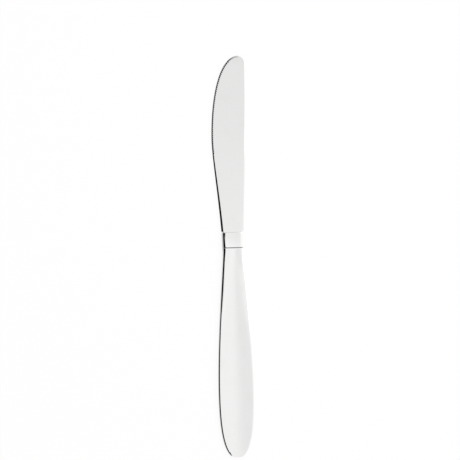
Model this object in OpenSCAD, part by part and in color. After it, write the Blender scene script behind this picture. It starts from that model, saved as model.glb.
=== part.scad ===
// Table knife: forged blade with its bolster and tang, in a hollow handle of two pressed half shells.
// It lies flat: +Y runs along the handle to the tip, the cutting edge faces -X, thickness is along Z.

/* [Handle] */
// Distance from the butt to the joint with the bolster
handle_len = 115; // [90:1:140]
// Width of the handle and of the bolster at the joint
neck_w = 11.75; // [10:0.1:14]
// Thickness of the handle and of the bolster at the joint
neck_t = 8.2; // [8:0.1:9]
// Radius of the sides at the joint
neck_side_r = 3.9; // [3:0.1:4]
// Width of the handle at its widest point
swell_w = 19.75; // [16:0.05:24]
// Thickness of the handle at its widest point
swell_t = 7.8; // [6:0.1:9]
// Radius of the sides at the widest point
swell_side_r = 2; // [1.4:0.05:2.5]
// Distance from the butt to the widest point
swell_setback = 36.6; // [25:0.1:45]
// Wall of the two half shells
shell_wall = 0.8; // [0.5:0.05:1]
// Thickness of the layer of braze between the half shells
braze_t = 0.16; // [0.1:0.02:0.3]
// Length of the cement in the handle, behind the bolster's plug
cement_len = 62; // [50:1:68]

/* [Joint] */
// Width of the V groove round the joint
groove_w = 0.56; // [0.3:0.02:1]
// Depth of the V groove round the joint
groove_d = 0.28; // [0.1:0.02:0.4]
// Length of the bolster's plug in the mouth of the handle
plug_len = 2.5; // [1.5:0.1:5]
// Gap round the plug
plug_gap = 0.1; // [0.05:0.05:0.2]

/* [Bolster and tang] */
// Length of the bolster, from the joint to the foot of its shoulder on the blade
bolster_len = 9; // [8:0.1:16]
// Thickness of the bolster behind its shoulder
bolster_t = 7.7; // [6:0.1:8]
// Length of the shoulder, which falls from the bolster to the blade
shoulder_len = 0.9; // [0.6:0.1:4]
// Length of the tang behind the plug
tang_len = 46; // [30:1:48]
// Width of the tang at the plug
tang_w = 6; // [5:0.1:7]
// Width of the tang at its end
tang_end_w = 3.4; // [2.6:0.1:4]
// Thickness of the tang
tang_t = 3; // [2:0.1:4]
// Depth of the notches that key the tang in the cement
notch_d = 0.6; // [0.3:0.1:0.8]
// Width by which the bolster's front end keeps inside the blade's outline
bolster_step_w = 0.05; // [0.02:0.01:0.1]

/* [Blade] */
// Distance from the joint to the tip
blade_len = 105; // [85:1:130]
// Distance from the joint to the heel, where the cutting edge starts
heel_setback = 8.7; // [7:0.1:14]
// Distance from the tip back to the belly, the widest point of the blade
belly_setback = 46; // [35:1:60]
// Reach of the edge from the handle's axis at the heel
heel_reach = 6.1; // [5.2:0.05:7]
// Reach of the edge from the handle's axis at the belly
belly_reach = 10.3; // [9:0.1:13]
// Reach of the spine from the handle's axis in front
spine_reach = 9; // [8:0.1:11]
// Reach of the tip from the handle's axis, towards the spine
tip_reach = 5.1; // [3:0.1:6.5]
// Height of the rounded corner between the tip and the spine
corner_h = 4.7; // [3:0.1:8]
// Thickness of the blade at the spine, next to the bolster
spine_t = 2.6; // [1.8:0.1:3]
// Thickness that the blade loses from the spine to the belly
edge_thinning = 1.1; // [0.6:0.1:1.3]
// Thickness that the blade loses from the bolster to the tip
tip_thinning = 0.8; // [0:0.1:1]
// Height of the chamfer along the spine, at the tip
spine_chamfer = 0.3; // [0.2:0.05:0.4]
// Tilt of the spine's chamfer from the flat of the blade, in degrees
spine_angle = 45; // [35:1:55]

/* [Cutting edge] */
// Tilt of the edge's ground bevel from the flat of the blade, in degrees
bevel_angle = 34; // [28:1:50]
// Thickness left at the very edge
edge_t = 0.2; // [0.1:0.05:0.3]
// Distance between two teeth of the fine serration
tooth_pitch = 1.1; // [1:0.1:2]
// Length of edge that the teeth take up
serrated_len = 52; // [30:1:70]
// Distance of the first tooth from the tip, along the edge
tooth_start = 7; // [5:0.5:12]
// Depth of a tooth's groove below the bevel
tooth_d = 0.2; // [0.1:0.05:0.25]
// Radius of the wheel that grinds a tooth's groove
tooth_r = 0.5; // [0.4:0.05:0.6]

/* [Hidden] */

// Overrun of every cut, and the depth to which joined forms sink in each other
over = 1;
// Number of parts in each curve of the blade's outline, in a section's side and crown, and along the handle
curve_steps = 20;
side_steps = 5;
crown_steps = 10;
butt_steps = 11;
body_steps = 20;
shoulder_steps = 8;
bolster_steps = 5;
last_point = 2 * side_steps + crown_steps;
last_station = butt_steps + body_steps + 1;

// Pulls of the outline's curves, as shares of the lengths that they span
heel_pull_share = 0.394;
heel_side_share = 0.3;
belly_back_share = 0.176;
belly_front_share = 0.548;
tip_pull_share = 0.636;
corner_side_share = 0.69;
corner_pull_share = 0.53;
spine_front_share = 0.42;
spine_back_share = 0.2;
swell_pull_share = 0.35;
waist_pull_share = 0.12;
// Powers that round the butt, crowd its stations at its end and fatten the handle's sides near the joint
butt_power = 2.5;
butt_root = 0.365;
butt_crowding = 2.2;
side_power = 4.5;
// Largest share of a section's half thickness that the radius of its sides takes
side_limit_share = 0.95;
// Share of the bolster's half thickness that the foot of its shoulder has, inside the leaf
foot_share = 0.2;
// Places of the tang's notches, as shares of its length
notch_place_shares = [0.3, 0.6];
// Corners of a notch: along the tang in widths of the tang, and inwards in depths of the notch
notch_corner_shares = [[-0.5, 0], [-0.25, 1], [0.25, 1], [0.5, 0]];

total_len = handle_len + blade_len;
side_reach = max(swell_w / 2, spine_reach);
mid_z = max(neck_t, swell_t) / 2;
seam = braze_t / 2;
heel_y = handle_len + heel_setback;
belly_y = total_len - belly_setback;
corner_y = total_len - corner_h;
plug_y = handle_len - plug_len;
root_y = handle_len + bolster_len / 2;
hidden_reach = heel_reach - over;

// The blade's outline: four curves of four points each, [x, y], from the heel round the tip to the joint
edge_back = let (span = belly_y - heel_y) [
    [-heel_reach, heel_y],
    [-heel_reach - heel_side_share * (belly_reach - heel_reach), heel_y + heel_pull_share * span],
    [-belly_reach, belly_y - belly_back_share * span],
    [-belly_reach, belly_y]
];
edge_front = [
    [-belly_reach, belly_y],
    [-belly_reach, belly_y + belly_front_share * belly_setback],
    [tip_reach - tip_pull_share * (belly_reach + tip_reach), total_len],
    [tip_reach, total_len]
];
tip_corner = [
    [tip_reach, total_len],
    [tip_reach + corner_side_share * (spine_reach - tip_reach), total_len],
    [spine_reach, corner_y + corner_pull_share * corner_h],
    [spine_reach, corner_y]
];
spine = let (span = corner_y - handle_len) [
    [spine_reach, corner_y],
    [spine_reach, corner_y - spine_front_share * span],
    [neck_w / 2, handle_len + spine_back_share * span],
    [neck_w / 2, handle_len]
];

function bezier(p, t) =
    pow(1 - t, 3) * p[0] + 3 * pow(1 - t, 2) * t * p[1] + 3 * (1 - t) * t * t * p[2] + t * t * t * p[3];
function curve(p, first = 0) = [for (i = [first : curve_steps]) bezier(p, i / curve_steps)];
function reversed(list) = [for (i = [len(list) - 1 : -1 : 0]) list[i]];

edge_line = concat(curve(edge_back), curve(edge_front, 1));
spine_line = concat(curve(tip_corner), curve(spine, 1));
spine_table = [for (p = reversed(curve(spine))) [p.y, p.x]];

// Outward direction of the blade's outline at one point of a line that runs from heel to tip or tip to joint
function outward(line, i) =
    let (d = line[min(i + 1, len(line) - 1)] - line[max(i - 1, 0)]) [-d.y, d.x] / norm(d);

// Upper half of an oval section of three arcs: [x, z] from the left rim over the crown to the right rim
function oval(a, b, side_r) =
    let (
        r = min(side_r, side_limit_share * b),
        h = (pow(a - r, 2) - pow(b - r, 2)) / (2 * (b - r)),
        lean = atan2(a - r, h)
    ) concat(
        [for (i = [0 : side_steps]) let (t = 180 - (90 - lean) * i / side_steps)
            [r - a + r * cos(t), r * sin(t)]],
        [for (i = [1 : crown_steps]) let (t = 90 + lean - 2 * lean * i / crown_steps)
            [(b + h) * cos(t), (b + h) * sin(t) - h]],
        [for (i = [1 : side_steps]) let (t = (90 - lean) * (1 - i / side_steps))
            [a - r + r * cos(t), r * sin(t)]]
    );

// Stations of the handle from the butt to the joint: [y, half width, half thickness, side radius].
// An inset moves the form inwards, for the inside of the shells, and the mouth stays where it is.
function butt_station(i, inset) =
    let (
        place = pow(i / butt_steps, butt_crowding),
        swelling = pow(1 - pow(1 - place, butt_power), butt_root)
    ) [
        inset + place * (swell_setback - inset),
        swelling * (swell_w / 2 - inset),
        swelling * (swell_t / 2 - inset),
        swell_side_r - inset
    ];
function body_station(i, inset) =
    let (
        run = bezier([[0, 0], [swell_pull_share, 0], [1 - waist_pull_share, 1], [1, 1]], i / body_steps),
        fall = pow(run.x, side_power)
    ) [
        swell_setback + run.x * (handle_len - groove_w / 2 - swell_setback),
        (swell_w + run.y * (neck_w - swell_w)) / 2 - inset,
        (swell_t + run.y * (neck_t - swell_t)) / 2 - inset,
        swell_side_r + fall * (neck_side_r - swell_side_r) - inset
    ];
function handle_stations(inset, mouth_inset) = concat(
    [for (i = [0 : butt_steps]) butt_station(i, inset)],
    [for (i = [1 : body_steps]) body_station(i, inset)],
    [[handle_len, neck_w / 2 - mouth_inset, neck_t / 2 - mouth_inset, neck_side_r - mouth_inset]]
);
stations = handle_stations(0, groove_d);
inner_stations = handle_stations(shell_wall, shell_wall);

// Half a section at a station, lifted off the middle plane by half the seam
function half_ring(s) = [for (p = oval(s[1], s[2] - seam, s[3])) [p.x, s[0], p[1] + seam]];

// A whole section about the given x, closed below by its own reflection
function full_ring(s, x = 0) =
    let (top = oval(s[1], s[2], s[3])) concat(
        [for (p = top) [p.x + x, s[0], p[1]]],
        [for (i = [last_point - 1 : -1 : 1]) [top[i].x + x, s[0], -top[i][1]]]
    );

// A whole section that is two half sections with the seam between them
function seamed_ring(s) =
    let (top = half_ring(s)) concat(top, [for (p = reversed(top)) [p.x, p.y, -p.z]]);

// Faces of a closed solid through rings of n points each, the last ring having the given number
function ring_faces(n, last) = concat(
    [for (i = [1 : last], j = [0 : n - 1]) [(i - 1) * n + j, i * n + j, i * n + (j + 1) % n]],
    [for (i = [1 : last], j = [0 : n - 1]) let (a = (i - 1) * n, k = (j + 1) % n) [a + j, i * n + k, a + k]],
    [[for (j = [0 : n - 1]) j]],
    [[for (j = [n - 1 : -1 : 0]) last * n + j]]
);

// A closed solid through rings that run along +Y
module loft(rings) {
    polyhedron(points = [for (r = rings) each r], faces = ring_faces(len(rings[0]), len(rings) - 1));
}

// A straight-sided section, [outward distance, z], carried along a line in the middle plane
module along(line, section) {
    loft([for (i = [0 : len(line) - 1]) let (out = outward(line, i))
        [for (s = section) [line[i].x + out.x * s.x, line[i].y + out.y * s.x, s.y]]]);
}

// What a V of two chamfers takes off round an edge that keeps the given half thickness
module chamfer_cut(line, half_t, tilt) {
    high = half_t + spine_t / 2;
    inward = -spine_t / 2 / tan(tilt);
    along(line, [[half_t / tan(tilt), 0], [inward, -high], [over, -high], [over, high], [inward, high]]);
}

module placed() {
    translate([(belly_reach - side_reach) / 2, -total_len / 2, mid_z]) children();
}

// The blade's own parts

// Slopes of the two flats, which lean together towards the edge and towards the tip
flat_slope_x = edge_thinning / 2 / (spine_reach + belly_reach);
flat_slope_y = tip_thinning / 2 / blade_len;

module flat_cut() {
    lean = -atan(flat_slope_x);
    translate([spine_reach, handle_len, spine_t / 2])
        rotate([-atan(flat_slope_y * cos(lean)), lean, 0])
            translate([-total_len, -total_len, 0])
                cube([2 * total_len, 2 * total_len, spine_t]);
}

module both_sides() {
    children();
    mirror([0, 0, 1]) children();
}

// The edge from the tip to the heel, the length of edge up to each of its points, and the point at a length
from_tip = reversed(edge_line);
function edge_run(i) = i == 0 ? 0 : edge_run(i - 1) + norm(from_tip[i] - from_tip[i - 1]);
edge_runs = [for (i = [0 : len(from_tip) - 1]) edge_run(i)];
function edge_point(run) =
    [for (axis = [0, 1]) lookup(run, [for (i = [0 : len(from_tip) - 1]) [edge_runs[i], from_tip[i][axis]]])];

// The wheels that grind the teeth's grooves, each lying along the slope of the bevel on the front side
module teeth() {
    slant = spine_t / sin(bevel_angle);
    for (run = [tooth_start : tooth_pitch : tooth_start + serrated_len]) {
        point = edge_point(run);
        next = edge_point(run + tooth_pitch);
        translate([point.x, point.y, edge_t / 2])
            rotate([0, 0, atan2(next.y - point.y, next.x - point.x) - 90])
                rotate([0, bevel_angle - 90, 0])
                    translate([tooth_r - tooth_d, 0, -over])
                        cylinder(r = tooth_r, h = slant + over, $fn = 24);
    }
}

module leaf() {
    difference() {
        translate([0, 0, -spine_t / 2])
            linear_extrude(spine_t)
                polygon(concat(
                    [[-hidden_reach, root_y], [-hidden_reach, heel_y - over]],
                    edge_line,
                    [for (p = spine_line) if (p.y > heel_y - over) p],
                    [[hidden_reach, heel_y - over], [hidden_reach, root_y]]
                ));
        both_sides() flat_cut();
        chamfer_cut(edge_line, edge_t / 2, bevel_angle);
        chamfer_cut(spine_line, (spine_t - tip_thinning) / 2 - spine_chamfer, spine_angle);
        teeth();
    }
}

// Section of the bolster at a place and a half thickness; its width fills the blade's outline
function bolster_ring(y, b) =
    let (
        right = lookup(y, spine_table),
        left = neck_w / 2 + (heel_reach - neck_w / 2) * min(1, (y - handle_len) / heel_setback),
        inset = bolster_step_w * (y - handle_len) / bolster_len
    ) full_ring([y, (left + right) / 2 - inset, b, neck_side_r], (right - left) / 2);

module bolster() {
    shoulder_y = handle_len + bolster_len - shoulder_len;
    back_y = handle_len + groove_w / 2;
    loft(concat(
        [full_ring(stations[last_station])],
        [for (i = [0 : bolster_steps - 1]) let (u = i / bolster_steps)
            bolster_ring(back_y + u * (shoulder_y - back_y), (neck_t - u * u * (neck_t - bolster_t)) / 2)],
        [for (i = [0 : shoulder_steps]) let (u = i / shoulder_steps, fall = (1 - cos(180 * u)) / 2)
            bolster_ring(shoulder_y + u * shoulder_len, bolster_t / 2 * (1 - (1 - foot_share) * fall))]
    ));
}

module plug() {
    inset = shell_wall + plug_gap;
    loft([for (y = [plug_y, handle_len + over])
        full_ring([y, neck_w / 2 - inset, neck_t / 2 - inset, neck_side_r - inset])]);
}

function tang_half_w(share) = (tang_w + share * (tang_end_w - tang_w)) / 2;

module tang() {
    side = concat(
        [[tang_w / 2, plug_y + over], [tang_w / 2, plug_y]],
        [for (share = notch_place_shares, corner = notch_corner_shares)
            [tang_half_w(share) - corner[1] * notch_d, plug_y - share * tang_len - corner[0] * tang_w]],
        [[tang_end_w / 2, plug_y - tang_len]]
    );
    translate([0, 0, -tang_t / 2])
        linear_extrude(tang_t)
            polygon(concat(side, [for (p = reversed(side)) [-p.x, p.y]]));
}

// The handle's own parts

// The front half shell: rings of points on its outside and its inside, joined along the seam and at the mouth
module half_shell() {
    n = last_point + 1;
    inner = 1 + last_station * n;
    before_mouth = last_station - 1;
    across = [0 : last_point - 1];
    outer_rings = [for (i = [1 : last_station]) half_ring(stations[i])];
    inner_rings = [for (i = [1 : last_station]) half_ring(inner_stations[i])];
    function out(i, j) = i == 0 ? 0 : 1 + (i - 1) * n + j;
    function in(i, j) = i == 0 ? inner : inner + 1 + (i - 1) * n + j;
    polyhedron(
        points = concat(
            [[0, 0, seam]],
            [for (r = outer_rings) each r],
            [[0, shell_wall, seam]],
            [for (r = inner_rings) each r]
        ),
        faces = concat(
            [for (i = [0 : before_mouth], j = across) [out(i, j), out(i + 1, j), out(i + 1, j + 1)]],
            [for (i = [1 : before_mouth], j = across) [out(i, j), out(i + 1, j + 1), out(i, j + 1)]],
            [for (i = [0 : before_mouth], j = across) [in(i, j), in(i + 1, j + 1), in(i + 1, j)]],
            [for (i = [1 : before_mouth], j = across) [in(i, j), in(i, j + 1), in(i + 1, j + 1)]],
            [for (i = [0 : before_mouth]) [out(i, 0), in(i, 0), in(i + 1, 0)]],
            [for (i = [0 : before_mouth]) [out(i, 0), in(i + 1, 0), out(i + 1, 0)]],
            [for (i = [0 : before_mouth]) let (j = last_point) [in(i, j), out(i, j), out(i + 1, j)]],
            [for (i = [0 : before_mouth]) let (j = last_point) [in(i, j), out(i + 1, j), in(i + 1, j)]],
            [for (j = across) let (i = last_station) [out(i, j + 1), out(i, j), in(i, j)]],
            [for (j = across) let (i = last_station) [out(i, j + 1), in(i, j), in(i, j + 1)]]
        )
    );
}

module blade() {
    color("silver") placed() union() {
        leaf();
        bolster();
        plug();
        tang();
    }
}

module handle_front_shell() {
    color("gainsboro") placed() half_shell();
}

module handle_back_shell() {
    color("lightgray") placed() mirror([0, 0, 1]) half_shell();
}

module seam_braze() {
    function side(list) = [for (i = [1 : last_station]) [list[i][1], list[i][0]]];
    function whole(list, end) = concat(reversed([for (p = side(list)) [-p.x, p.y]]), [[0, end]], side(list));
    color("darkkhaki") placed()
        translate([0, 0, -seam])
            linear_extrude(braze_t)
                polygon(concat(whole(stations, 0), reversed(whole(inner_stations, shell_wall))));
}

module handle_cement() {
    end_y = plug_y - cement_len;
    color("darkgray") placed() difference() {
        loft([for (i = [1 : last_station]) seamed_ring(inner_stations[i])]);
        translate([-swell_w, plug_y, -swell_w]) cube([2 * swell_w, 2 * plug_len, 2 * swell_w]);
        translate([-swell_w, end_y - handle_len, -swell_w]) cube([2 * swell_w, handle_len, 2 * swell_w]);
        tang();
    }
}

blade();
handle_front_shell();
handle_back_shell();
seam_braze();
handle_cement();
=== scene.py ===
"""Table knife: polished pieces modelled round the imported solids, with their steel and a plain studio."""

import math

import bmesh
import bpy
from bpy.props import FloatProperty, FloatVectorProperty, PointerProperty
from mathutils import Matrix, Vector


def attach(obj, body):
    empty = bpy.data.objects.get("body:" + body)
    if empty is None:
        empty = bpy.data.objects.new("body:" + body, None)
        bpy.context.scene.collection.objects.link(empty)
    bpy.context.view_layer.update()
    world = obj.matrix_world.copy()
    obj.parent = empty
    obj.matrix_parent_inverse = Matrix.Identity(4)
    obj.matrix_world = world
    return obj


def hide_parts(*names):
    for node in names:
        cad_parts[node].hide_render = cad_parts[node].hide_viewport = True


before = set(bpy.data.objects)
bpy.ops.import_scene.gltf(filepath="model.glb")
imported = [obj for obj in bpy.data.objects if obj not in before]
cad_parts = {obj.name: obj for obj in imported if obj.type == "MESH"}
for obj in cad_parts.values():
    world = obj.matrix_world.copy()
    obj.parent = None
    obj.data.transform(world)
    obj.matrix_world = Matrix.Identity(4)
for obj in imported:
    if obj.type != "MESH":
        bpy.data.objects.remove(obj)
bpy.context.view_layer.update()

bl_info = {
    "name": "Table knife",
    "version": (1, 0, 0),
    "blender": (4, 5, 0),
    "location": "3D View > Sidebar > Table knife",
    "description": "Models a polished table knife with a hollow handle, and a plain studio round it",
    "category": "Add Mesh",
}

# The pieces are modelled a thousand times their size, in millimetres, because the modelling tools' own
# tolerances are coarse. They are brought down to metres when they are finished.
MM = 1000
OVER = 1.0
MERGE = 1e-4
SLIVER = 2e-3

# Off-centre place that no two vertices are equally far from, for sorting them before they are merged
SORT_FROM = (31.7, -17.3, 43.9)

# How finely the forms are divided: a section's side and crown, the handle, the bolster and the outline
SIDE_STEPS = 12
CROWN_STEPS = 24
BUTT_STEPS = 30
BODY_STEPS = 60
SHOULDER_STEPS = 24
BOLSTER_STEPS = 12
OUTLINE_STEPS = 48
TOOTH_SIDES = 64

# Pulls of the curves, as shares of the lengths that they span, and the powers that shape the handle
HEEL_PULL, HEEL_SIDE, BELLY_BACK, BELLY_FRONT = 0.394, 0.3, 0.176, 0.548
TIP_PULL, CORNER_SIDE, CORNER_PULL = 0.636, 0.69, 0.53
SPINE_FRONT, SPINE_BACK = 0.42, 0.2
SWELL_PULL, WAIST_PULL = 0.35, 0.12
BUTT_POWER, BUTT_ROOT, BUTT_CROWDING, SIDE_POWER = 2.5, 0.365, 2.2, 4.5
SIDE_LIMIT, FOOT_SHARE = 0.95, 0.2
NOTCH_PLACES = (0.3, 0.6)
NOTCH_CORNERS = ((-0.5, 0), (-0.25, 1), (0.25, 1), (0.5, 0))

# Halvings that find a place on a curve, and the degrees between faces up to which a piece looks smooth
HALVINGS = 40
SMOOTH_BELOW = 7

# Grain sizes of the finishes in millimetres, and the depths of their bumps in metres, with strengths
HAIRLINE_W, HAIRLINE_LEN, HAIRLINE_DEPTH, HAIRLINE_STRENGTH = 0.05, 4.0, 4e-7, 0.35
STREAK_W, STREAK_LEN = 0.35, 18.0
MARK_SIZE, MARK_RANGE = (9, 14, 9), (0.5, 0.75)
WAVE_SIZE, WAVE_DEPTH = (14, 26, 14), 1.2e-5
SAND_SIZE, SAND_DEPTH, SAND_STRENGTH = (0.4, 0.4, 0.4), 1e-4, 0.5
PATCH_SIZE = (5, 5, 5)

# Brightness that streaks and marks take from the steel, and the painted shade that darkens it towards the
# tip, with where that painted shade lies, in millimetres from the tip's end. The groove's rim in shares of
# its half width, and what it adds in roughness.
STREAK_SHADE, MARK_SHADE, PAINTED_TIP_SHADE = 0.03, 0.02, 0.035
PAINTED_SHADE_FROM, PAINTED_SHADE_TO = 6, 1
GROOVE_RIM, GROOVE_ROUGHNESS = (0.8, 1.1), 0.2

# Brightness and roughness of the cement, and what sand and patches add
CEMENT_LIGHT, SAND_LIGHT, PATCH_LIGHT = 0.75, 0.35, 0.2
CEMENT_ROUGHNESS, SAND_ROUGHNESS = 0.75, 0.2

# The studio, in metres: the floor, the lamp and how far the camera sees. Then the share of plain white
# in the floor as the camera sees it, which leaves the rest for the shadow.
FLOOR_SIZE, LAMP_PLACE, LAMP_SIZE, CAMERA_REACH = 8, (0.25, 0.1, 1.1), 0.9, 20
FLOOR_WHITE = 0.9

# What the metal mirrors, as smooth steps: from and to in degrees, then the values before and after
CARD_RISE, CARD_FILL, CARD_END = (-18, 4, 0, 0.5), (4, 55, 0, 0.5), (148, 156)
CARD_FOOT, CARD_BLUR = (-21, -18), (-1.5, 1.5)
TOP_AT_WAIST, TOP_BEHIND, TOP_AT_BUTT = (88.4, 89.4, 36, 23.5), (90.1, 90.8, 0, 3), (91.5, 94, 0, 2)
STRIP, STRIP_SHADE, RIGHT, UNDER = (-14, 28), (-2, -0.8, 0.1, 0.045), (50, 108), (-24, -12)
GLOW, GLOW_END, FRONT, FRONT_END, AHEAD = (-2, -1.2), (0.3, 1.2), (1, 5), (6, 20), (25, 55)

# Brightness of the room and the card, and what the room's parts add or take
ROOM, CARD, RIGHT_LIGHT, UNDER_SHADE = 1.085, 0.012, 0.2, 0.42
GLOW_LIGHT, FRONT_SHADE, AHEAD_LIGHT = 0.04, 0.045, 0.32


def length(name, description, millimetres):
    return FloatProperty(
        name=name,
        description=description,
        default=millimetres / MM,
        min=0,
        precision=5,
        unit="LENGTH",
        subtype="DISTANCE",
    )


def colour(name, description, value):
    return FloatVectorProperty(
        name=name, description=description, default=value, size=3, min=0, max=1, subtype="COLOR"
    )


def amount(name, description, value, highest=1):
    return FloatProperty(name=name, description=description, default=value, min=0, max=highest)


def angle(name, description, degrees):
    return FloatProperty(
        name=name, description=description, default=math.radians(degrees), unit="ROTATION", subtype="ANGLE"
    )


class KnifeHandleSizes(bpy.types.PropertyGroup):
    """Sizes of the handle and of the joint."""

    handle_len: length("Handle length", "From the butt to the joint", 115)
    neck_w: length("Neck width", "Width at the joint", 11.75)
    neck_t: length("Neck thickness", "Thickness at the joint", 8.2)
    neck_side_r: length("Neck side radius", "Radius of the sides at the joint", 3.9)
    swell_w: length("Swell width", "Width at the widest point", 19.75)
    swell_t: length("Swell thickness", "Thickness at the widest point", 7.8)
    swell_side_r: length("Swell side radius", "Radius of the sides at the widest point", 2)
    swell_setback: length("Swell setback", "From the butt to the widest point", 36.6)
    shell_wall: length("Shell wall", "Thickness of the half shells", 0.8)
    braze_t: length("Braze", "Thickness of the braze between the half shells", 0.16)
    groove_w: length("Groove width", "Width of the V groove round the joint", 0.56)
    groove_d: length("Groove depth", "Depth of the V groove round the joint", 0.28)


class KnifeBladeSizes(bpy.types.PropertyGroup):
    """Sizes of the blade, its bolster, its tang and its cutting edge."""

    bolster_len: length("Bolster length", "From the joint to the foot of the shoulder", 9)
    bolster_t: length("Bolster thickness", "Thickness behind the shoulder", 7.7)
    shoulder_len: length("Shoulder length", "Run of the shoulder down to the blade", 0.9)
    bolster_step_w: length("Bolster step", "How far the foot keeps inside the outline", 0.05)
    plug_len: length("Plug length", "Depth of the plug in the handle", 2.5)
    plug_gap: length("Plug gap", "Gap round the plug", 0.1)
    tang_len: length("Tang length", "Length of the tang behind the plug", 46)
    tang_w: length("Tang width", "Width of the tang at the plug", 6)
    tang_end_w: length("Tang end width", "Width of the tang at its end", 3.4)
    tang_t: length("Tang thickness", "Thickness of the tang", 3)
    notch_d: length("Notch depth", "Depth of the tang's notches", 0.6)
    blade_len: length("Blade length", "From the joint to the tip", 105)
    heel_setback: length("Heel setback", "From the joint to the heel of the edge", 8.7)
    belly_setback: length("Belly setback", "From the tip back to the belly", 46)
    heel_reach: length("Heel reach", "From the axis to the edge at the heel", 6.1)
    belly_reach: length("Belly reach", "From the axis to the edge at the belly", 10.3)
    spine_reach: length("Spine reach", "From the axis to the spine in front", 9)
    tip_reach: length("Tip reach", "From the axis to the tip, towards the spine", 5.1)
    corner_h: length("Corner height", "Height of the rounded corner beside the tip", 4.7)
    spine_t: length("Spine thickness", "Thickness at the spine, next to the bolster", 2.6)
    edge_thinning: length("Edge thinning", "Thickness lost from the spine to the belly", 1.1)
    tip_thinning: length("Tip thinning", "Thickness lost from the bolster to the tip", 0.8)
    spine_chamfer: length("Spine chamfer", "Height of the chamfer along the spine", 0.3)
    spine_angle: angle("Spine angle", "Tilt of the spine's chamfer from the flat", 45)
    bevel_angle: angle("Bevel angle", "Tilt of the ground bevel from the flat", 34)
    edge_t: length("Edge thickness", "Thickness left at the very edge", 0.2)
    tooth_pitch: length("Tooth pitch", "Distance between two teeth", 1.1)
    serrated_len: length("Serrated length", "Length of edge with teeth", 52)
    tooth_start: length("Tooth start", "From the tip to the first tooth, along the edge", 7)
    tooth_d: length("Tooth depth", "Depth of a tooth's groove below the bevel", 0.2)
    tooth_r: length("Tooth radius", "Radius of the grinding wheel", 0.5)


class KnifeFinish(bpy.types.PropertyGroup):
    """Colours and polish of the metal and the cement."""

    steel: colour("Steel", "Colour of the polished steel", (0.82, 0.82, 0.815))
    ground: amount("Ground blade", "Brightness of the finely ground blade beside the polished steel", 0.94)
    groove: amount("Groove", "Brightness of the unpolished joint groove beside the polished steel", 0.58)
    braze: colour("Braze", "Colour of the brazing alloy", (0.74, 0.72, 0.66))
    cement: colour("Cement", "Colour of the handle cement", (0.45, 0.43, 0.4))
    polish: amount("Roughness", "Roughness of the polished steel", 0.05)
    streaks: amount("Polishing lines", "How much the polishing lines roughen the steel", 0.05)
    wear: amount("Wear", "How much faint handling marks roughen the steel", 0.04)


class KnifeStudio(bpy.types.PropertyGroup):
    """Camera distance, light and surroundings."""

    view_width: length("View width", "Width of the picture at the knife", 253)
    view_distance: length("Camera distance", "Height of the camera over the knife", 1000)
    view_x: length("View middle X", "How far left of the middle the camera looks", 1.15)
    view_y: length("View middle Y", "How far forward of the middle the camera looks", 14.72)
    roll: angle("Roll", "How far the knife is turned in the picture", 1.396)
    floor: colour("Floor", "Colour of the floor", (0.86, 0.86, 0.86))
    lamp: amount("Lamp", "Power of the soft lamp, in watts", 9, 100)
    fill: amount("Fill", "Strength of the light from all round", 0.55)


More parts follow.
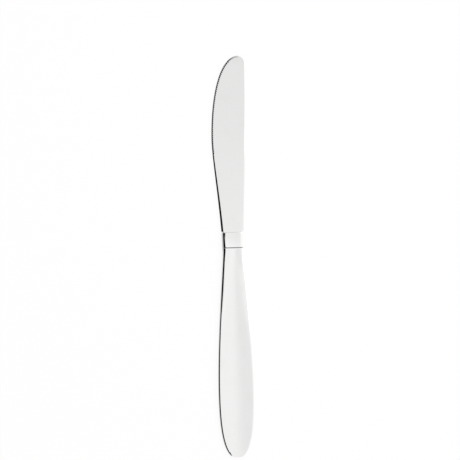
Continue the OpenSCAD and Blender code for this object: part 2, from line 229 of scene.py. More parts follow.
class Lines:
    """The knife's lines and sections in millimetres: x across, y from butt to tip, z from the middle."""

    def __init__(self, scene):
        for group in (scene.knife_handle, scene.knife_blade):
            for name in group.__annotations__:
                value = getattr(group, name)
                setattr(self, name, value if name.endswith("_angle") else value * MM)
        self.total_len = self.handle_len + self.blade_len
        self.seam = self.braze_t / 2
        self.mid_z = max(self.neck_t, self.swell_t) / 2
        self.heel_y = self.handle_len + self.heel_setback
        self.belly_y = self.total_len - self.belly_setback
        self.corner_y = self.total_len - self.corner_h
        self.plug_y = self.handle_len - self.plug_len
        self.slope_x = self.edge_thinning / 2 / (self.spine_reach + self.belly_reach)
        self.slope_y = self.tip_thinning / 2 / self.blade_len
        self.curves = self.outline()

    def outline(self):
        """The blade's outline: four curves of four points each, from the heel round the tip to the joint."""
        heel, belly, spine, tip = self.heel_reach, self.belly_reach, self.spine_reach, self.tip_reach
        back = self.belly_y - self.heel_y
        front = self.corner_y - self.handle_len
        top = self.total_len
        return (
            (
                (-heel, self.heel_y),
                (-heel - HEEL_SIDE * (belly - heel), self.heel_y + HEEL_PULL * back),
                (-belly, self.belly_y - BELLY_BACK * back),
                (-belly, self.belly_y),
            ),
            (
                (-belly, self.belly_y),
                (-belly, self.belly_y + BELLY_FRONT * self.belly_setback),
                (tip - TIP_PULL * (belly + tip), top),
                (tip, top),
            ),
            (
                (tip, top),
                (tip + CORNER_SIDE * (spine - tip), top),
                (spine, self.corner_y + CORNER_PULL * self.corner_h),
                (spine, self.corner_y),
            ),
            (
                (spine, self.corner_y),
                (spine, self.corner_y - SPINE_FRONT * front),
                (self.neck_w / 2, self.handle_len + SPINE_BACK * front),
                (self.neck_w / 2, self.handle_len),
            ),
        )

    def butt_station(self, share, inset):
        """Place, half width, half thickness and side radius of the handle between butt and swell."""
        place = share**BUTT_CROWDING
        swelling = (1 - (1 - place) ** BUTT_POWER) ** BUTT_ROOT
        return (
            inset + place * (self.swell_setback - inset),
            swelling * (self.swell_w / 2 - inset),
            swelling * (self.swell_t / 2 - inset),
            self.swell_side_r - inset,
        )

    def body_station(self, share, inset):
        """The same between the swell and the joint."""
        place, fall = bezier(((0, 0), (SWELL_PULL, 0), (1 - WAIST_PULL, 1), (1, 1)), share)
        rounding = place**SIDE_POWER
        return (
            self.swell_setback + place * (self.handle_len - self.groove_w / 2 - self.swell_setback),
            (self.swell_w + fall * (self.neck_w - self.swell_w)) / 2 - inset,
            (self.swell_t + fall * (self.neck_t - self.swell_t)) / 2 - inset,
            self.swell_side_r + rounding * (self.neck_side_r - self.swell_side_r) - inset,
        )

    def neck_station(self, inset):
        half_w, half_t = self.neck_w / 2 - inset, self.neck_t / 2 - inset
        return self.handle_len, half_w, half_t, self.neck_side_r - inset

    def handle_stations(self, inset, mouth_inset):
        """Stations from the one next to the butt's end to the mouth."""
        butt = [self.butt_station(i / BUTT_STEPS, inset) for i in range(1, BUTT_STEPS + 1)]
        body = [self.body_station(i / BODY_STEPS, inset) for i in range(1, BODY_STEPS + 1)]
        return butt + body + [self.neck_station(mouth_inset)]

    def spine_at(self, y):
        """Reach of the spine at a place along it."""
        return bezier(self.curves[3], share_at(self.curves[3], y))[0]

    def bolster_station(self, y, half_t):
        """A section of the bolster that fills the blade's outline, and the x of its middle."""
        right = self.spine_at(y)
        share = min(1, (y - self.handle_len) / self.heel_setback)
        left = self.neck_w / 2 + (self.heel_reach - self.neck_w / 2) * share
        inset = self.bolster_step_w * (y - self.handle_len) / self.bolster_len
        return (y, (left + right) / 2 - inset, half_t, self.neck_side_r), (right - left) / 2

    def bolster_stations(self):
        """Stations from the joint's groove to the foot of the shoulder."""
        back_y = self.handle_len + self.groove_w / 2
        shoulder_y = self.handle_len + self.bolster_len - self.shoulder_len
        stations = [(self.neck_station(self.groove_d), 0)]
        for i in range(BOLSTER_STEPS):
            u = i / BOLSTER_STEPS
            half_t = (self.neck_t - u * u * (self.neck_t - self.bolster_t)) / 2
            stations.append(self.bolster_station(back_y + u * (shoulder_y - back_y), half_t))
        for i in range(SHOULDER_STEPS + 1):
            u = i / SHOULDER_STEPS
            fall = (1 - math.cos(math.pi * u)) / 2
            half_t = self.bolster_t / 2 * (1 - (1 - FOOT_SHARE) * fall)
            stations.append(self.bolster_station(shoulder_y + u * self.shoulder_len, half_t))
        return stations

    def edge_points(self):
        """Points along the edge from the tip to the heel, each with the length of edge up to it."""
        points = [bezier(self.curves[1], 1 - i / OUTLINE_STEPS) for i in range(OUTLINE_STEPS)]
        points += [bezier(self.curves[0], 1 - i / OUTLINE_STEPS) for i in range(OUTLINE_STEPS + 1)]
        runs = [0.0]
        for a, b in zip(points, points[1:]):
            runs.append(runs[-1] + math.dist(a, b))
        return points, runs


def bezier(points, t):
    """A point of a cubic curve."""
    weights = ((1 - t) ** 3, 3 * (1 - t) ** 2 * t, 3 * (1 - t) * t * t, t**3)
    return tuple(sum(w * p[axis] for w, p in zip(weights, points)) for axis in (0, 1))


def share_at(curve, y):
    """The share of a curve that runs towards the butt at which it passes the place y, by halving."""
    low, high = 0.0, 1.0
    for _ in range(HALVINGS):
        middle = (low + high) / 2
        low, high = (middle, high) if bezier(curve, middle)[1] > y else (low, middle)
    return low


def along(points, runs, run):
    """The point that lies at a run along a line."""
    i = max(1, next((k for k, r in enumerate(runs) if r >= run), len(runs) - 1))
    share = (run - runs[i - 1]) / (runs[i] - runs[i - 1])
    return tuple(a + share * (b - a) for a, b in zip(points[i - 1], points[i]))


def object_mode():
    if bpy.context.mode != "OBJECT":
        bpy.ops.object.mode_set(mode="OBJECT")


def pick_only(*pieces):
    """Selects these pieces and nothing else, the last one active."""
    object_mode()
    bpy.ops.object.select_all(action="DESELECT")
    for piece in pieces:
        piece.select_set(True)
    bpy.context.view_layer.objects.active = pieces[-1]


def start_piece(name):
    """An empty mesh, open in edit mode."""
    object_mode()
    bpy.ops.object.select_all(action="DESELECT")
    bpy.ops.mesh.primitive_plane_add(size=1)
    piece = bpy.context.object
    piece.name = piece.data.name = name
    bpy.ops.object.mode_set(mode="EDIT")
    bpy.ops.mesh.select_all(action="SELECT")
    bpy.ops.mesh.delete(type="VERT")
    return piece


def choose(piece, test):
    """Selects the open piece's vertices whose index and place pass the test, with what lies between."""
    bpy.ops.mesh.select_all(action="DESELECT")
    mesh = bmesh.from_edit_mesh(piece.data)
    for i, vertex in enumerate(mesh.verts):
        vertex.select = test(i, vertex.co)
    mesh.select_flush(True)
    bmesh.update_edit_mesh(piece.data)


def vertex_count(piece):
    return len(bmesh.from_edit_mesh(piece.data).verts)


def lay_point(place):
    """A single selected vertex: a small square, merged."""
    bpy.ops.mesh.select_all(action="DESELECT")
    bpy.ops.mesh.primitive_plane_add(size=1, location=place)
    bpy.ops.mesh.merge(type="CENTER")


def turn(centre, degrees, steps):
    """Spins the selected vertex into an arc about a line along y."""
    bpy.ops.mesh.spin(steps=steps, angle=math.radians(degrees), center=centre, axis=(0, -1, 0))


def lay_section(piece, station, x=0.0, lift=None):
    """An oval section of three arcs a side. With a lift it is an open upper half, raised by that."""
    y, half_w, half_t, side_r = station
    z = lift or 0.0
    half_t -= z
    r = min(side_r, SIDE_LIMIT * half_t)
    drop = ((half_w - r) ** 2 - (half_t - r) ** 2) / (2 * (half_t - r))
    lean = math.degrees(math.atan2(half_w - r, drop))
    first = vertex_count(piece)
    lay_point((x - half_w, y, z))
    turn((x + r - half_w, y, z), 90 - lean, SIDE_STEPS)
    turn((x, y, z - drop), 2 * lean, CROWN_STEPS)
    turn((x + half_w - r, y, z), 90 - lean, SIDE_STEPS)
    if lift is None:
        turn((x + half_w - r, y, z), 90 - lean, SIDE_STEPS)
        turn((x, y, z + drop), 2 * lean, CROWN_STEPS)
        turn((x + r - half_w, y, z), (90 - lean) * (SIDE_STEPS - 1) / SIDE_STEPS, SIDE_STEPS - 1)
        last = vertex_count(piece) - 1
        choose(piece, lambda i, co: i in (first, last))
        bpy.ops.mesh.edge_face_add()
    return first, vertex_count(piece)


def bridge(piece, sections):
    """Skins the sections in their order."""
    for (low, middle), (middle_2, high) in zip(sections, sections[1:]):
        choose(piece, lambda i, co: low <= i < middle or middle_2 <= i < high)
        bpy.ops.mesh.bridge_edge_loops()


def cap(piece, section):
    choose(piece, lambda i, co: section[0] <= i < section[1])
    bpy.ops.mesh.edge_face_add()


def close_to_point(piece, section, place):
    """Draws a section's open end together into one point."""
    choose(piece, lambda i, co: section[0] <= i < section[1])
    bpy.ops.mesh.extrude_region_move()
    bpy.ops.mesh.merge(type="CENTER")
    mesh = bmesh.from_edit_mesh(piece.data)
    point = next(v.co.copy() for v in mesh.verts if v.select)
    bpy.ops.transform.translate(value=Vector(place) - point)


def outward(piece):
    """Joins what meets, and turns every face outwards."""
    bpy.ops.mesh.select_all(action="SELECT")
    bpy.ops.mesh.remove_doubles(threshold=MERGE)
    bpy.ops.mesh.normals_make_consistent(inside=False)
    object_mode()


def apply_cut(piece, tool, operation):
    """Joins a second form to a piece or cuts it away, drops the slivers, and deletes the second form.

    The cut leaves its vertices in a different order each time, and which of two close ones the merge keeps
    goes by their order, so they are sorted first.
    """
    pick_only(piece)
    cut = piece.modifiers.new("cut", "BOOLEAN")
    cut.operation = operation
    cut.solver = "EXACT"
    cut.object = tool
    bpy.ops.object.modifier_apply(modifier=cut.name)
    pick_only(tool)
    bpy.ops.object.delete()
    pick_only(piece)
    bpy.ops.object.mode_set(mode="EDIT")
    bpy.ops.mesh.select_all(action="SELECT")
    cursor = bpy.context.scene.cursor
    home = cursor.location.copy()
    cursor.location = SORT_FROM
    bpy.ops.mesh.sort_elements(type="CURSOR_DISTANCE", elements={"VERT"})
    cursor.location = home
    bpy.ops.mesh.remove_doubles(threshold=SLIVER)
    bpy.ops.mesh.dissolve_degenerate(threshold=MERGE)
    object_mode()


def bring_down(piece, lines):
    """Smooths a finished piece and brings it from the bench to its place in the frame, in metres."""
    pick_only(piece)
    bpy.ops.object.shade_smooth_by_angle(angle=math.radians(SMOOTH_BELOW))
    side_reach = max(lines.swell_w / 2, lines.spine_reach)
    place = Vector(((lines.belly_reach - side_reach) / 2, -lines.total_len / 2, lines.mid_z))
    bpy.ops.transform.translate(value=place)
    bpy.ops.transform.resize(value=(1 / MM,) * 3, center_override=(0, 0, 0))
    bpy.ops.object.transform_apply(location=True, rotation=True, scale=True)


def new_curve(name, points, cyclic):
    """A flat curve through points given as (place, handle before, handle after)."""
    object_mode()
    bpy.ops.object.select_all(action="DESELECT")
    bpy.ops.curve.primitive_bezier_curve_add()
    curve = bpy.context.object
    curve.name = name
    curve.data.dimensions = "2D"
    curve.data.fill_mode = "NONE"
    curve.data.resolution_u = OUTLINE_STEPS
    spline = curve.data.splines[0]
    spline.bezier_points.add(len(points) - 2)
    spline.use_cyclic_u = cyclic
    for knot, (place, before, after) in zip(spline.bezier_points, points):
        knot.handle_left_type = knot.handle_right_type = "FREE"
        knot.co = (*place, 0)
        knot.handle_left = (*before, 0)
        knot.handle_right = (*after, 0)
    return curve


def knots(curves):
    """The knots of curves that follow each other."""
    found = [(curves[0][0], curves[0][0], curves[0][1])]
    for this, after in zip(curves, curves[1:]):
        found.append((this[3], this[2], after[1]))
    return found + [(curves[-1][3], curves[-1][2], curves[-1][3])]


def corner(place):
    return place, place, place


def to_mesh(curve):
    pick_only(curve)
    bpy.ops.object.convert(target="MESH")
    return bpy.context.object


def chamfer_tool(lines, curves, half_t, tilt):
    """The V that two chamfers take off round an edge, swept along the edge's curves."""
    high = half_t + lines.spine_t / 2
    inward = -lines.spine_t / 2 / math.tan(tilt)
    section = [(half_t / math.tan(tilt), 0), (inward, high), (OVER, high), (OVER, -high), (inward, -high)]
    profile = new_curve("profile", [corner((-x, z)) for x, z in section], True)
    profile.data.resolution_u = 1
    path = new_curve("chamfer_tool", knots(curves), False)
    path.data.bevel_mode = "OBJECT"
    path.data.bevel_object = profile
    path.data.use_fill_caps = True
    tool = to_mesh(path)
    pick_only(profile)
    bpy.ops.object.delete()
    pick_only(tool)
    bpy.ops.object.mode_set(mode="EDIT")
    outward(tool)
    return tool


class Wire:
    """A shader socket that can be used in sums."""

    def __init__(self, shader, node, output):
        self.shader, self.node, self.socket = shader, node, node.outputs[output]

    def sum(self, operation, a, b, c=0.5):
        return self.shader.add("ShaderNodeMath", {"operation": operation}, {0: a, 1: b, 2: c})

    def __add__(self, other):
        return self.sum("ADD", self, other)

    def __sub__(self, other):
        return self.sum("SUBTRACT", self, other)

    def __rsub__(self, other):
        return self.sum("SUBTRACT", other, self)

    def __mul__(self, other):
        return self.sum("MULTIPLY", self, other)

    def size(self):
        return self.sum("ABSOLUTE", self, 0.0)

    __radd__ = __add__
    __rmul__ = __mul__


class Shader:
    """A node tree under construction."""

    def __init__(self, tree):
        self.tree = tree
        tree.nodes.clear()

    def add(self, kind, settings=None, inputs=None, output=0):
        """A node with its settings and inputs, as the wire from one of its outputs."""
        node = self.tree.nodes.new(kind)
        for name, value in (settings or {}).items():
            setattr(node, name, value)
        for key, value in (inputs or {}).items():
            if isinstance(value, Wire):
                self.tree.links.new(value.socket, node.inputs[key])
            else:
                node.inputs[key].default_value = value
        return Wire(self, node, output) if node.outputs else None

    def place(self, axis):
        """A coordinate of the surface along X, Y or Z, in metres."""
        place = self.add("ShaderNodeTexCoord", output="Object")
        return self.add("ShaderNodeSeparateXYZ", None, {0: place}, axis)

    def coordinates(self, stretch):
        place = self.add("ShaderNodeTexCoord", output="Object")
        return self.add("ShaderNodeMapping", None, {"Vector": place, "Scale": stretch})

    def noise(self, stretch, detail=2.0, roughness=0.5):
        """Noise whose grains have the given sizes along x, y and z, in millimetres, running from 0 to 1."""
        scale = [MM / size for size in stretch]
        inputs = {"Vector": self.coordinates(scale), "Scale": 1.0, "Detail": detail, "Roughness": roughness}
        return self.add("ShaderNodeTexNoise", None, inputs)

    def ramp(self, value, low, high, start=0.0, end=1.0):
        """A smooth step from start to end as the value goes from low to high."""
        inputs = {"Value": value, "From Min": low, "From Max": high, "To Min": start, "To Max": end}
        return self.add("ShaderNodeMapRange", {"interpolation_type": "SMOOTHSTEP"}, inputs)

    def shade(self, value, tint):
        """A colour times a brightness."""
        return self.add("ShaderNodeVectorMath", {"operation": "SCALE"}, {0: tint[:3], "Scale": value})

    def bump(self, strength, depth, height, under=None):
        """A bump of the given depth in metres, laid over another one where there is one."""
        inputs = {"Strength": strength, "Distance": depth, "Height": height, **(under or {})}
        return self.add("ShaderNodeBump", None, inputs)

    def finish(self, surface):
        self.add("ShaderNodeOutputMaterial", None, {"Surface": surface})


def new_material(name):
    material = bpy.data.materials.new(name)
    material.use_nodes = True
    return material, Shader(material.node_tree)


def polished_steel(name, finish, lines, lines_along, tint):
    """Mirror-polished steel: very fine polishing lines along one axis, faint handling marks, slow waviness.

    The blade in front of the bolster is ground and a little darker, and painted shade darkens it further
    towards the tip. The groove at the joint is unpolished.
    """
    joint_y = (lines.handle_len - lines.total_len / 2) / MM
    leaf_y = joint_y + lines.bolster_len / MM
    groove_w = lines.groove_w / 2 / MM
    tip_y = lines.total_len / 2 / MM
    material, shader = new_material(name)
    fine, broad = [HAIRLINE_W] * 3, [STREAK_W] * 3
    fine[lines_along], broad[lines_along] = HAIRLINE_LEN, STREAK_LEN
    hairlines = shader.noise(fine, detail=3.0, roughness=0.6)
    streaks = shader.noise(broad, detail=2.0)
    marks = shader.ramp(shader.noise(MARK_SIZE, detail=4.0, roughness=0.65), *MARK_RANGE)
    waves = shader.noise(WAVE_SIZE, detail=0.0)
    along = shader.place("Y")
    groove = 1 - shader.ramp((along - joint_y).size(), *(share * groove_w for share in GROOVE_RIM))
    leaf = shader.ramp(along, leaf_y, leaf_y + groove_w)
    # Painted shade: the steel is darkened towards the tip's end, by place along the knife
    tip = shader.ramp(along, tip_y - PAINTED_SHADE_FROM / MM, tip_y - PAINTED_SHADE_TO / MM)
    # Brightness: streaks, marks, the ground blade, the groove, and the painted shade towards the tip
    brightness = (1 - STREAK_SHADE * streaks - MARK_SHADE * marks) * (1 - (1 - finish.ground) * leaf)
    brightness = brightness * (1 - (1 - finish.groove) * groove) * (1 - PAINTED_TIP_SHADE * tip)
    roughness = finish.polish + finish.streaks * (hairlines * streaks) + finish.wear * marks
    roughness = roughness + GROOVE_ROUGHNESS * groove
    lines_bump = shader.bump(HAIRLINE_STRENGTH, HAIRLINE_DEPTH, hairlines)
    bump = shader.bump(1.0, WAVE_DEPTH, waves, {"Normal": lines_bump})
    surface = shader.add(
        "ShaderNodeBsdfPrincipled",
        None,
        {
            "Base Color": shader.shade(brightness, tint),
            "Metallic": 1.0,
            "Roughness": roughness,
            "Normal": bump,
        },
    )
    shader.finish(surface)
    return material


def cast_cement(finish):
    """Handle cement: sand grains in resin."""
    material, shader = new_material("handle_cement")
    grains = shader.noise(SAND_SIZE, detail=4.0, roughness=0.7)
    patches = shader.noise(PATCH_SIZE, detail=2.0)
    brightness = CEMENT_LIGHT + SAND_LIGHT * grains + PATCH_LIGHT * patches
    bump = shader.bump(SAND_STRENGTH, SAND_DEPTH, grains)
    surface = shader.add(
        "ShaderNodeBsdfPrincipled",
        None,
        {
            "Base Color": shader.shade(brightness, finish.cement),
            "Roughness": CEMENT_ROUGHNESS + SAND_ROUGHNESS * grains,
            "Normal": bump,
        },
    )
    shader.finish(surface)
    return material


def hand_over(piece, material, slot, *nodes):
    """Gives a piece its material, attaches it to the root body and hides the imported parts that it stands
    for.
    """
    piece.data.materials.clear()
    piece.data.materials.append(material)
    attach(piece, "root")
    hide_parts(*nodes)


class KnifeOperator:
    bl_options = {"REGISTER", "UNDO"}


class KNIFE_OT_handle(KnifeOperator, bpy.types.Operator):
    """Model the two half shells of the handle and the braze between them"""

    bl_idname = "knife.handle"
    bl_label = "Handle"

    def execute(self, context):
        lines, finish = Lines(context.scene), context.scene.knife_finish
        steel = polished_steel("handle_steel", finish, lines, 1, finish.steel)
        front = self.half_shell(lines)
        back = self.turned_over(front)
        seam = self.braze(front, lines)
        for piece in (front, back, seam):
            bring_down(piece, lines)
        hand_over(front, steel, "handle_steel", "handle_front_shell")
        hand_over(back, steel, "handle_steel", "handle_back_shell")
        braze = polished_steel("braze", finish, lines, 1, finish.braze)
        hand_over(seam, braze, "braze", "seam_braze")
        return {"FINISHED"}

    def half_shell(self, lines):
        """Outer and inner skins, joined along the seam and round the mouth."""
        piece = start_piece("front_shell")
        skins = (
            (lines.handle_stations(0, lines.groove_d), 0),
            (lines.handle_stations(lines.shell_wall, lines.shell_wall), lines.shell_wall),
        )
        for stations, end in skins:
            sections = [lay_section(piece, station, lift=lines.seam) for station in stations]
            bridge(piece, sections)
            close_to_point(piece, sections[0], (0, end, lines.seam))
        bpy.ops.mesh.select_all(action="DESELECT")
        bpy.ops.mesh.select_mode(type="EDGE")
        bpy.ops.mesh.select_non_manifold(
            extend=False, use_wire=False, use_multi_face=False, use_non_contiguous=False, use_verts=False
        )
        bpy.ops.mesh.bridge_edge_loops()
        bpy.ops.mesh.select_mode(type="VERT")
        outward(piece)
        return piece

    def turned_over(self, front):
        """The back shell: a copy of the front one, mirrored in the middle plane."""
        pick_only(front)
        bpy.ops.object.duplicate()
        back = bpy.context.object
        back.name = back.data.name = "back_shell"
        bpy.ops.transform.resize(value=(1, 1, -1), center_override=(0, 0, 0))
        bpy.ops.object.transform_apply(location=True, rotation=True, scale=True)
        bpy.ops.object.mode_set(mode="EDIT")
        outward(back)
        return back

    def braze(self, front, lines):
        """The layer between the shells: a copy of the front shell's rim, given its thickness."""
        pick_only(front)
        bpy.ops.object.duplicate()
        seam = bpy.context.object
        seam.name = seam.data.name = "seam_line"
        bpy.ops.object.mode_set(mode="EDIT")
        choose(seam, lambda i, co: co.z > lines.seam + MERGE)
        bpy.ops.mesh.delete(type="VERT")
        bpy.ops.mesh.select_all(action="SELECT")
        bpy.ops.mesh.extrude_region_move(TRANSFORM_OT_translate={"value": (0, 0, -lines.braze_t)})
        outward(seam)
        return seam


class KNIFE_OT_blade(KnifeOperator, bpy.types.Operator):
    """Model the blade with its bolster, plug and tang, and grind its edge"""

    bl_idname = "knife.blade"
    bl_label = "Blade"

    def execute(self, context):
        lines, finish = Lines(context.scene), context.scene.knife_finish
        leaf = self.leaf(lines)
        edge = chamfer_tool(lines, lines.curves[:2], lines.edge_t / 2, lines.bevel_angle)
        apply_cut(leaf, edge, "DIFFERENCE")
        half_t = (lines.spine_t - lines.tip_thinning) / 2 - lines.spine_chamfer
        spine = chamfer_tool(lines, lines.curves[2:], half_t, lines.spine_angle)
        apply_cut(leaf, spine, "DIFFERENCE")
        apply_cut(leaf, self.teeth(lines), "DIFFERENCE")
        for form in (self.bolster(lines), self.plug(lines), self.tang(lines)):
            apply_cut(leaf, form, "UNION")
        bring_down(leaf, lines)
        steel = polished_steel("blade_steel", finish, lines, 0, finish.steel)
        hand_over(leaf, steel, "blade_steel", "blade")
        return {"FINISHED"}

    def leaf(self, lines):
        """The flat part: its outline filled, thickened, and cut by the two leaning flats."""
        hidden_x = lines.heel_reach - OVER
        root_y = lines.handle_len + lines.bolster_len / 2
        points = knots(lines.curves)[:-1]
        spine = lines.curves[3]
        heel = points[0][0]
        points[0] = (heel, heel, points[0][2])
        cut_y = lines.heel_y - OVER
        share = share_at(spine, cut_y)
        first = [tuple(a + share * (b - a) for a, b in zip(p, q)) for p, q in zip(spine, spine[1:])]
        second = [tuple(a + share * (b - a) for a, b in zip(p, q)) for p, q in zip(first, first[1:])]
        end = bezier(spine, share)
        points[-1] = (points[-1][0], points[-1][1], first[0])
        points.append((end, second[0], end))
        points += [corner((hidden_x, cut_y)), corner((hidden_x, root_y))]
        points += [corner((-hidden_x, root_y)), corner((-hidden_x, cut_y))]
        leaf = to_mesh(new_curve("knife_blade", points, True))
        leaf.name = leaf.data.name = "knife_blade"
        bpy.ops.object.mode_set(mode="EDIT")
        bpy.ops.mesh.select_all(action="SELECT")
        bpy.ops.mesh.remove_doubles(threshold=MERGE)
        bpy.ops.mesh.edge_face_add()
        bpy.ops.transform.translate(value=(0, 0, -lines.spine_t / 2))
        bpy.ops.mesh.extrude_region_move(TRANSFORM_OT_translate={"value": (0, 0, lines.spine_t)})
        bpy.ops.mesh.select_all(action="SELECT")
        bpy.ops.mesh.normals_make_consistent(inside=False)
        for side in (1, -1):
            bpy.ops.mesh.select_all(action="SELECT")
            bpy.ops.mesh.bisect(
                plane_co=(lines.spine_reach, lines.handle_len, side * lines.spine_t / 2),
                plane_no=(-lines.slope_x, lines.slope_y, side),
                use_fill=True,
                clear_outer=True,
            )
        outward(leaf)
        return leaf

    def teeth(self, lines):
        """The wheels that grind the teeth, each lying along the slope of the bevel on the front side."""
        piece = start_piece("teeth")
        points, runs = lines.edge_points()
        height = lines.spine_t / math.sin(lines.bevel_angle) + OVER
        for k in range(int(lines.serrated_len / lines.tooth_pitch) + 1):
            run = lines.tooth_start + k * lines.tooth_pitch
            here, after = along(points, runs, run), along(points, runs, run + lines.tooth_pitch)
            heading = math.atan2(after[1] - here[1], after[0] - here[0])
            frame_here = (
                Matrix.Translation((*here, lines.edge_t / 2))
                @ Matrix.Rotation(heading - math.pi / 2, 4, "Z")
                @ Matrix.Rotation(lines.bevel_angle - math.pi / 2, 4, "Y")
                @ Matrix.Translation((lines.tooth_r - lines.tooth_d, 0, height / 2 - OVER))
            )
            bpy.ops.mesh.primitive_cylinder_add(
                vertices=TOOTH_SIDES,
                radius=lines.tooth_r,
                depth=height,
                location=frame_here.translation,
                rotation=frame_here.to_euler(),
            )
        object_mode()
        return piece

    def bolster(self, lines):
        """The bolster, from the joint's groove over its domed top to the foot of its shoulder."""
        piece = start_piece("bolster")
        sections = [lay_section(piece, station, x) for station, x in lines.bolster_stations()]
        bridge(piece, sections)
        cap(piece, sections[0])
        cap(piece, sections[-1])
        outward(piece)
        return piece

    def plug(self, lines):
        """The plug that centres the bolster in the handle's mouth."""
        piece = start_piece("plug")
        inset = lines.shell_wall + lines.plug_gap
        station = lines.neck_station(inset)[1:]
        sections = [lay_section(piece, (y, *station)) for y in (lines.plug_y, lines.handle_len + OVER)]
        bridge(piece, sections)
        cap(piece, sections[0])
        cap(piece, sections[-1])
        outward(piece)
        return piece

    def tang(self, lines):
        """The tang, with its two pairs of notches."""
        side = [(lines.tang_w / 2, lines.plug_y + OVER), (lines.tang_w / 2, lines.plug_y)]
        for place in NOTCH_PLACES:
            half_w = (lines.tang_w + place * (lines.tang_end_w - lines.tang_w)) / 2
            for run, depth in NOTCH_CORNERS:
                y = lines.plug_y - place * lines.tang_len - run * lines.tang_w
                side.append((half_w - depth * lines.notch_d, y))
        side.append((lines.tang_end_w / 2, lines.plug_y - lines.tang_len))
        outline = side + [(-x, y) for x, y in reversed(side)]
        curve = new_curve("tang", [corner(p) for p in outline], True)
        curve.data.resolution_u = 1
        tang = to_mesh(curve)
        bpy.ops.object.mode_set(mode="EDIT")
        bpy.ops.mesh.select_all(action="SELECT")
        bpy.ops.mesh.remove_doubles(threshold=MERGE)
        bpy.ops.mesh.edge_face_add()
        bpy.ops.transform.translate(value=(0, 0, -lines.tang_t / 2))
        bpy.ops.mesh.extrude_region_move(TRANSFORM_OT_translate={"value": (0, 0, lines.tang_t)})
        outward(tang)
        return tang


class KNIFE_OT_cement(KnifeOperator, bpy.types.Operator):
    """Give the cement in the handle its own material"""

    bl_idname = "knife.cement"
    bl_label = "Cement"

    def execute(self, context):
        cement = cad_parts["handle_cement"]
        cement.data.materials.clear()
        cement.data.materials.append(cast_cement(context.scene.knife_finish))
        return {"FINISHED"}


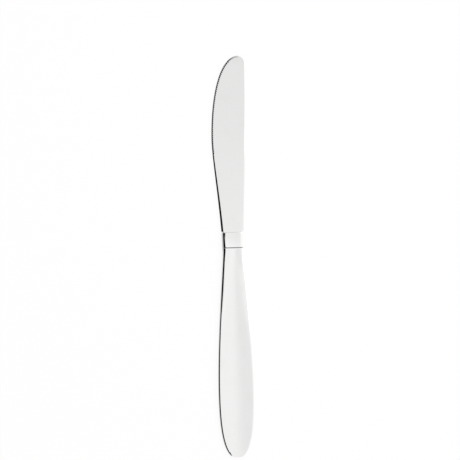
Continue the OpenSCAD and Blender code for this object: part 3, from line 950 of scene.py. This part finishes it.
class KNIFE_OT_studio(KnifeOperator, bpy.types.Operator):
    """Set up the floor, the light, the surroundings and the camera"""

    bl_idname = "knife.studio"
    bl_label = "Studio"

    def execute(self, context):
        studio = context.scene.knife_studio
        self.floor(studio)
        self.lamp(studio)
        self.surroundings(context.scene, studio)
        self.camera(context.scene, studio)
        context.scene.view_settings.view_transform = "Standard"
        return {"FINISHED"}

    def floor(self, studio):
        """A pale floor that looks white and keeps the knife's shadow."""
        object_mode()
        bpy.ops.object.select_all(action="DESELECT")
        bpy.ops.mesh.primitive_plane_add(size=FLOOR_SIZE)
        floor = bpy.context.object
        floor.name = "floor"
        material, shader = new_material("floor")
        white = shader.add("ShaderNodeEmission", None, {"Color": (1, 1, 1, 1), "Strength": 1.0})
        matt = shader.add("ShaderNodeBsdfDiffuse", None, {"Color": (*studio.floor, 1)})
        seen = shader.add("ShaderNodeLightPath", output="Is Camera Ray")
        surface = shader.add("ShaderNodeMixShader", None, {0: FLOOR_WHITE * seen, 1: matt, 2: white})
        shader.finish(surface)
        floor.data.materials.append(material)
        floor.visible_glossy = False

    def lamp(self, studio):
        """A soft disk lamp, turned to the knife and not mirrored in it."""
        bpy.ops.object.light_add(type="AREA", location=LAMP_PLACE)
        lamp = bpy.context.object
        lamp.data.shape = "DISK"
        lamp.data.size = LAMP_SIZE
        lamp.data.energy = studio.lamp
        lamp.rotation_euler = (Vector((0, 0, 0)) - lamp.location).to_track_quat("-Z", "Y").to_euler()
        lamp.visible_glossy = False

    def surroundings(self, scene, studio):
        """What the metal mirrors: a pale room that is dimmer on the right, and a dark card on the left."""
        world = bpy.data.worlds.new("studio")
        world.use_nodes = True
        scene.world = world
        shader = Shader(world.node_tree)
        way = shader.add("ShaderNodeTexCoord", output="Generated")
        split = shader.add("ShaderNodeSeparateXYZ", None, {0: way})
        x, y, z = (Wire(shader, split.node, axis) for axis in range(3))
        degrees = 180 / math.pi
        height = x.sum("ARCSINE", z, 0.0) * degrees
        # Bearing round the knife, from the tip (0) over the edge's side (90) to the butt (180)
        bearing = x.sum("ARCTAN2", 0.0 - x, y) * degrees
        # Leans of the direction from straight up: to the right, and its reach towards the tip
        lean = x.sum("ARCTAN2", x, z) * degrees
        reach = y.sum("ARCTAN2", y, z) * degrees

        # The card starts softly beside the tip and ends behind the butt. Its top is lowest beside the
        # handle's waist, at a bearing of about 90, and higher towards the tip and the butt.
        left = shader.ramp(bearing, *CARD_RISE) + shader.ramp(bearing, *CARD_FILL)
        left = left * (1 - shader.ramp(bearing, *CARD_END))
        top = shader.ramp(bearing, *TOP_AT_WAIST) + shader.ramp(bearing, *TOP_BEHIND)
        top = top + shader.ramp(bearing, *TOP_AT_BUTT)
        card = shader.ramp(height, *CARD_FOOT) * (1 - shader.ramp(height - top, *CARD_BLUR)) * left
        # The room is dimmer overhead to the right, a few degrees ahead of overhead, and under the card.
        # It is brighter far to the right, in a narrow glow overhead, and low ahead of the tip.
        strip = shader.ramp(lean, *STRIP) * shader.ramp(reach, *STRIP_SHADE)
        right = shader.ramp(lean, *RIGHT)
        under = (1 - shader.ramp(height, *UNDER)) * left
        front = shader.ramp(reach, *FRONT) * (1 - shader.ramp(reach, *FRONT_END))
        glow = shader.ramp(reach, *GLOW) * (1 - shader.ramp(reach, *GLOW_END))
        ahead = shader.ramp(reach, *AHEAD)
        pale = ROOM - strip + RIGHT_LIGHT * right - UNDER_SHADE * under
        pale = pale + GLOW_LIGHT * glow - FRONT_SHADE * front + AHEAD_LIGHT * ahead
        mirrored = pale * (1 - card) + CARD * card
        rays = shader.add("ShaderNodeLightPath")
        camera_ray = Wire(shader, rays.node, "Is Camera Ray")
        glossy_ray = Wire(shader, rays.node, "Is Glossy Ray")
        strength = camera_ray + (1 - camera_ray) * (glossy_ray * mirrored + (1 - glossy_ray) * studio.fill)
        light = shader.add("ShaderNodeBackground", None, {"Color": (1, 1, 1, 1), "Strength": strength})
        shader.add("ShaderNodeOutputWorld", None, {"Surface": light})

    def camera(self, scene, studio):
        """Straight down over the knife, with the picture's slight turn."""
        object_mode()
        bpy.ops.object.camera_add(
            location=(-studio.view_x, studio.view_y, studio.view_distance), rotation=(0, 0, -studio.roll)
        )
        camera = bpy.context.object
        camera.data.lens = camera.data.sensor_width * studio.view_distance / studio.view_width
        camera.data.clip_end = CAMERA_REACH
        scene.camera = camera


class KNIFE_PT_panel(bpy.types.Panel):
    """The knife's sizes, finish and studio, and what models them"""

    bl_label = "Table knife"
    bl_idname = "KNIFE_PT_panel"
    bl_space_type = "VIEW_3D"
    bl_region_type = "UI"
    bl_category = "Table knife"

    def draw(self, context):
        for operator in STEPS:
            self.layout.operator(operator.bl_idname)
        for name in GROUPS:
            group = getattr(context.scene, name)
            box = self.layout.box()
            for size in group.__annotations__:
                box.prop(group, size)


STEPS = (KNIFE_OT_handle, KNIFE_OT_blade, KNIFE_OT_cement, KNIFE_OT_studio)
GROUPS = {
    "knife_handle": KnifeHandleSizes,
    "knife_blade": KnifeBladeSizes,
    "knife_finish": KnifeFinish,
    "knife_studio": KnifeStudio,
}


def register():
    for kind in (*GROUPS.values(), *STEPS, KNIFE_PT_panel):
        bpy.utils.register_class(kind)
    for name, kind in GROUPS.items():
        setattr(bpy.types.Scene, name, PointerProperty(type=kind))


def unregister():
    for name in GROUPS:
        delattr(bpy.types.Scene, name)
    for kind in reversed((*GROUPS.values(), *STEPS, KNIFE_PT_panel)):
        bpy.utils.unregister_class(kind)


def main():
    register()
    bpy.ops.knife.handle()
    bpy.ops.knife.blade()
    bpy.ops.knife.cement()
    bpy.ops.knife.studio()


if __name__ == "__main__":
    main()
